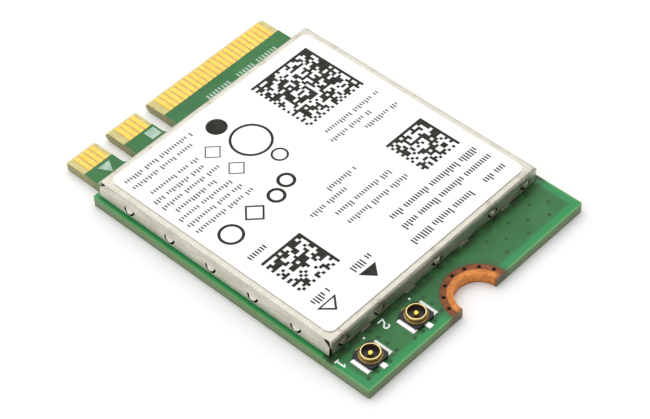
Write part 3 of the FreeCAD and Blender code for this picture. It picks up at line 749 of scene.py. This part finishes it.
def label_print():
    """Generic print on the label: rows of ticks, code fields and plain marks."""
    rng = random.Random(LABEL_SEED)
    z = LABEL_TOP
    dark, grey = bmesh.new(), bmesh.new()
    for field in CODE_FIELDS:
        code_field(dark, rng, *field, z)
    prism(dark, SOLID_TRIANGLE, z, z + INK)
    middle = OPEN_TRIANGLE_MIDDLE
    inner = [tuple(middle + (Vector(p) - middle) * OPEN_TRIANGLE_INSIDE) for p in OPEN_TRIANGLE]
    band(dark, OPEN_TRIANGLE, inner, z)
    for line in DARK_LINES:
        greeked(dark, rng, *line, z)
    for row in range(SMALL_ROWS):
        y = SMALL_ROW_Y - row * SMALL_ROW_PITCH - (BREAK_HEIGHT if row >= ROWS_BEFORE_BREAK else 0)
        x0 = SMALL_ROW_X + INDENT * (row in INDENTED_ROWS)
        x1 = rng.uniform(*(SHORT_ROW_ENDS if row in SHORT_ROWS else LONG_ROW_ENDS))
        greeked(grey, rng, x0, x1, y, SMALL_ROW_HEIGHT, z)
    for line in GREY_LINES:
        greeked(grey, rng, *line, z)
    prism(dark, circle(*DISC), z, z + INK)
    for x, y, radius, width in CIRCLES:
        band(dark, circle(x, y, radius, CIRCLE_SIDES), circle(x, y, radius - width, CIRCLE_SIDES), z)
    for ink, diamonds in ((dark, DARK_DIAMONDS), (grey, GREY_DIAMONDS)):
        for x, y, radius, width in diamonds:
            band(ink, diamond(x, y, radius), diamond(x, y, radius - width), z)
    piece("label_print_dark", dark)
    piece("label_print_grey", grey)
    matt("print_dark", (0.036, 0.033, 0.026), (0.022, 0.02, 0.016), 0.6, 0.1, 2.0, 0.002, "label_print_dark")
    matt("print_grey", (0.13, 0.125, 0.11), (0.09, 0.086, 0.075), 0.6, 0.1, 2.0, 0.002, "label_print_grey")


def silkscreen():
    """White marks on the board: jack numerals, a dot beside each jack and plain marks on the tongue."""
    mesh = bmesh.new()
    z = BOARD_TOP
    for jack in jacks:
        prism(mesh, circle(jack.x + JACK_DOT_X, jack.y + JACK_DOT_Y, JACK_DOT_RADIUS), z, z + INK)
    x, y = jacks[0].x + NUMERAL_1_PLACE[0], jacks[0].y + NUMERAL_1_PLACE[1]
    prism(mesh, [(x + dx, y + dy) for dx, dy in NUMERAL_1_OUTLINE], z, z + INK)
    x, y = jacks[1].x + NUMERAL_2_PLACE[0], jacks[1].y + NUMERAL_2_PLACE[1]
    stroke(mesh, [(x + dx, y + dy) for dx, dy in NUMERAL_2_LINE], SILK_STROKE, z)
    piece("silkscreen", mesh)
    mesh, rng = bmesh.new(), random.Random(TONGUE_SEED)
    prism(mesh, TONGUE_TRIANGLE, z, z + INK)
    bar(mesh, *TONGUE_SQUARE, z)
    for x0, x1 in TONGUE_LINES:
        greeked(mesh, rng, x0, x1, TONGUE_LINE_Y, TONGUE_LINE_HEIGHT, z)
    piece("tongue_marks", mesh)
    matt("silk", (0.84, 0.9, 0.87), (0.74, 0.82, 0.79), 0.55, 0.3, 3.0, 0.003, "silkscreen")
    matt("worn_silk", (0.42, 0.54, 0.46), (0.25, 0.42, 0.32), 0.55, 0.3, 3.0, 0.003, "tongue_marks")


def vias():
    """Tented vias in the mask, plated vias in the ring as dark discs of painted shade, and test pads on the
    underside.
    """
    tented, plated, pads = bmesh.new(), bmesh.new(), bmesh.new()
    z = BOARD_TOP
    for jack in jacks:
        for dx, dy in JACK_VIA_OFFSETS:
            prism(tented, circle(jack.x + dx, jack.y + dy, VIA_RADIUS), z, z + INK)
    for row, x0 in enumerate(VIA_ROW_STARTS):
        y = VIA_ROW_Y - VIA_ROW_PITCH * row
        for column in range(VIAS_IN_ROW):
            prism(tented, circle(x0 + column * VIA_PITCH, y, VIA_RADIUS), z, z + INK)
    for i in range(RING_VIA_COUNT):
        angle = math.pi / 2 + (i - (RING_VIA_COUNT - 1) / 2) * RING_VIA_STEP
        x = RING_CENTRE.x + RING_VIA_CIRCLE * math.cos(angle)
        y = RING_CENTRE.y + RING_VIA_CIRCLE * math.sin(angle)
        prism(plated, circle(x, y, RING_VIA_RADIUS), z, z + INK)
        prism(plated, circle(x, y, RING_VIA_RADIUS), -INK, 0)
    for i in range(TEST_PAD_ROWS):
        for j in range(TEST_PAD_ROWS):
            x = TEST_PAD_X + i * TEST_PAD_PITCH_X + TEST_PAD_SHIFT * (j % 2)
            y = TEST_PAD_Y + j * TEST_PAD_PITCH_Y
            prism(pads, circle(x, y, TEST_PAD_RADIUS, TEST_PAD_SIDES), -INK, 0)
    piece("tented_vias", tented)
    piece("ring_vias", plated)
    piece("test_pads", pads)
    matt("tented_via", (0.008, 0.07, 0.018), (0.005, 0.05, 0.012), 0.4, 0.3, 4.0, 0.004, "tented_vias")
    # Painted shade: each plated via's hole is a dark disc on both faces.
    matt("via_hole_shade", (0.01, 0.006, 0.005), (0.006, 0.004, 0.003), 0.6, 0.1, 6.0, 0.004, "ring_vias")
    gold("test_pad_gold", (0.93, 0.6, 0.15), (0.85, 0.52, 0.11), 0.28, "test_pads")


def stage():
    """White floor and a soft light from above and behind."""
    data = bpy.data.meshes.new("floor")
    signs = ((-1, -1), (1, -1), (1, 1), (-1, 1))
    data.from_pydata([(i * FLOOR_REACH, j * FLOOR_REACH, 0) for i, j in signs], [], [(0, 1, 2, 3)])
    floor = bpy.data.objects.new("floor", data)
    floor.location.z = -FLOOR_DROP * MM
    bpy.context.scene.collection.objects.link(floor)
    look = Looks.material("floor")
    look.set(Base_Color=mottled(look, (0.88, 0.88, 0.88), (0.87, 0.87, 0.87), 0.05), Roughness=0.9)
    look.on("floor")
    lamp_data = bpy.data.lights.new("softbox", "AREA")
    lamp_data.shape = "SQUARE"
    lamp_data.size = SOFTBOX_SIZE
    lamp_data.energy = SOFTBOX_POWER
    lamp = bpy.data.objects.new("softbox", lamp_data)
    lamp.location = SOFTBOX_PLACE
    lamp.rotation_euler = (-SOFTBOX_PLACE).to_track_quat("-Z", "Y").to_euler()
    bpy.context.scene.collection.objects.link(lamp)


def studio():
    """Pale surroundings, brighter overhead and darker in front."""
    world = bpy.data.worlds.new("studio")
    look = Looks(world, "Background")
    _, y, z = look.parts(look.node("ShaderNodeTexCoord").outputs["Generated"])
    front = look.between(y, *FRONT_SPAN, FRONT, 1.0)
    high = look.between(z, *OVERHEAD_SPAN)
    shade = look.calc("ADD", look.calc("MULTIPLY", front, look.calc("SUBTRACT", 1.0, high)), high)
    sky = look.between(z, 0.0, SKY_TOP, HORIZON, ZENITH)
    look.set(Color=(1.0, 1.0, 1.0, 1.0), Strength=look.calc("MULTIPLY", shade, sky))
    bpy.context.scene.world = world


def camera():
    """Camera that sees the card as the photograph does."""
    cos_e = math.cos(CAMERA_ELEVATION)
    x, y = math.sin(CAMERA_AZIMUTH) * cos_e, -math.cos(CAMERA_AZIMUTH) * cos_e
    back = Vector((x, y, math.sin(CAMERA_ELEVATION)))
    right = Vector((0, 0, 1)).cross(back).normalized()
    up = back.cross(right)
    cos_r, sin_r = math.cos(CAMERA_ROLL), math.sin(CAMERA_ROLL)
    axes = (right * cos_r + up * sin_r, up * cos_r - right * sin_r, back)
    data = bpy.data.cameras.new("camera")
    data.sensor_width = SENSOR_WIDTH
    data.lens = CAMERA_LENS
    data.clip_start, data.clip_end = CLIP_START, CLIP_END
    made = bpy.data.objects.new("camera", data)
    place = Matrix.Translation((CAMERA_TARGET + back * CAMERA_DISTANCE) * MM)
    made.matrix_world = place @ Matrix(axes).transposed().to_4x4()
    bpy.context.scene.collection.objects.link(made)
    bpy.context.scene.camera = made


laminate()
gold("contact_gold", (0.9, 0.43, 0.085), (0.82, 0.37, 0.068), 0.3,
     "edge_contacts_top", "edge_contacts_bottom")
jack_shell()
jack_pin()
copper()
shield()
catch_domes()
inner_sheet()
# Painted shade: the solder at the foot of the shield's wall is painted much darker than the jacks' solder.
solder("shield_solder", (0.3, 0.28, 0.21), (0.22, 0.2, 0.15), False, "shield_solder")
# Painted shade on the far feet of the jacks.
solder("jack_solder", (0.9, 0.9, 0.88), (0.76, 0.76, 0.74), True,
       "antenna_jack_1_solder", "antenna_jack_2_solder")
matt("label_film", (0.9, 0.9, 0.895), (0.88, 0.88, 0.87), 0.5, 0.4, 0.4, 0.003, "label")
matt("insulator", (0.016, 0.012, 0.016), (0.009, 0.007, 0.009), 0.4, 0.28, 3.0, 0.004,
     "antenna_jack_1_housing", "antenna_jack_2_housing")
matt("chip_package", (0.026, 0.026, 0.028), (0.016, 0.016, 0.018), 0.55, 0.4, 2.0, 0.006,
     "radio_chip", "memory_chip", "front_end_module_1", "front_end_module_2")
matt("ceramic_body", (0.43, 0.3, 0.18), (0.33, 0.22, 0.13), 0.5, 0.4, 3.0, 0.004,
     "diplexer_1", "diplexer_2", "ceramic_capacitors")
matt("resistor_body", (0.028, 0.028, 0.032), (0.014, 0.014, 0.017), 0.4, 0.4, 3.0, 0.004, "chip_resistors")
matt("ferrite", (0.11, 0.11, 0.112), (0.075, 0.075, 0.077), 0.6, 0.4, 3.0, 0.008, "power_inductors")
label_print()
silkscreen()
vias()
stage()
studio()
camera()

scene = bpy.context.scene
scene.view_settings.view_transform = "Standard"
